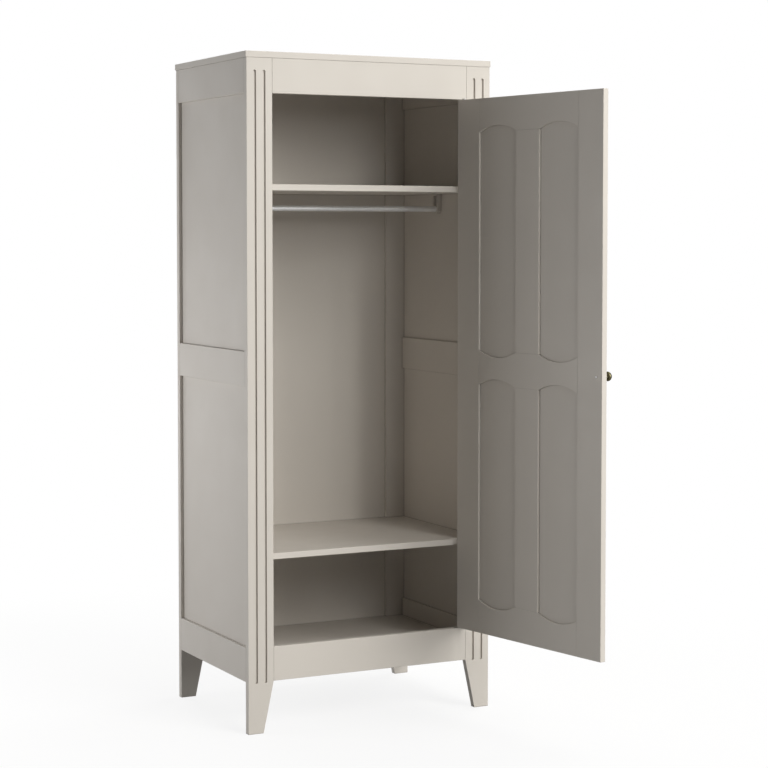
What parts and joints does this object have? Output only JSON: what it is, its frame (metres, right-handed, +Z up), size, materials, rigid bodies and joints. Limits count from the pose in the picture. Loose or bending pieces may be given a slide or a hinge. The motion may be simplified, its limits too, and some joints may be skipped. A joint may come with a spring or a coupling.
{
  "type": "wardrobe",
  "caption": "Tall painted wardrobe on tapered legs, with a framed door of arched panels on pivot hinges, fluted front posts, shelves and a hanging rail.",
  "frame": {"origin": "on the floor, under the middle of the posts' outline", "axes": "+X to the right seen from the front, +Y to the back, +Z up"},
  "size_m": [0.8467, 1.171, 1.96],
  "materials": {
    "paint": "satin greige paint",
    "bright_steel": "bright",
    "holder_plastic": "satin",
    "steel": "zinc plated",
    "dowel_wood": "bare beech",
    "washer_plastic": "matt",
    "magnet": "matt",
    "bumper_rubber": "matt",
    "brass": "aged"
  },
  "bodies": {
    "cabinet": {"top_panel": "paint", "front_left_post": "paint", "front_right_post": "paint", "rear_left_post": "paint", "rear_right_post": "paint", "front_top_rail": "paint", "front_bottom_rail": "paint", "left_top_rail": "paint", "left_mid_rail": "paint", "left_bottom_rail": "paint", "right_top_rail": "paint", "right_mid_rail": "paint", "right_bottom_rail": "paint", "left_upper_panel": "paint", "left_lower_panel": "paint", "right_upper_panel": "paint", "right_lower_panel": "paint", "back_panel": "paint", "bottom_panel": "paint", "lower_shelf": "paint", "hat_shelf": "paint", "hanging_rail": "bright_steel", "rail_holder_left": "holder_plastic", "rail_holder_right": "holder_plastic", "rail_holder_screws": "steel", "front_frame_dowels": "dowel_wood", "left_side_dowels": "dowel_wood", "right_side_dowels": "dowel_wood", "shelf_dowels": "dowel_wood", "top_dowels": "dowel_wood", "back_panel_screws": "steel", "pivot_frame_plate_upper": "steel", "pivot_frame_plate_lower": "steel", "pivot_pin_upper": "steel", "pivot_pin_lower": "steel", "pivot_washers": "washer_plastic", "frame_plate_screws": "steel", "catch_magnet": "magnet", "door_bumpers": "bumper_rubber"},
    "door": {"door_hinge_stile": "paint", "door_lock_stile": "paint", "door_top_rail": "paint", "door_mid_rail": "paint", "door_bottom_rail": "paint", "door_upper_mullion": "paint", "door_lower_mullion": "paint", "door_upper_panel_hinge_side": "paint", "door_upper_panel_lock_side": "paint", "door_lower_panel_hinge_side": "paint", "door_lower_panel_lock_side": "paint", "door_dowels": "dowel_wood", "knob": "brass", "knob_bolt": "steel", "pivot_door_plate_upper": "steel", "pivot_door_plate_lower": "steel", "door_plate_screws": "steel", "catch_strike": "steel"}
  },
  "joints": [
    {"name": "door_hinge", "type": "hinge", "parent": "cabinet", "child": "door", "pos_m": [0.3095, -0.2765, 1.046], "axis": [0, 0, 1], "range_deg": [-100, 70]}
  ]
}
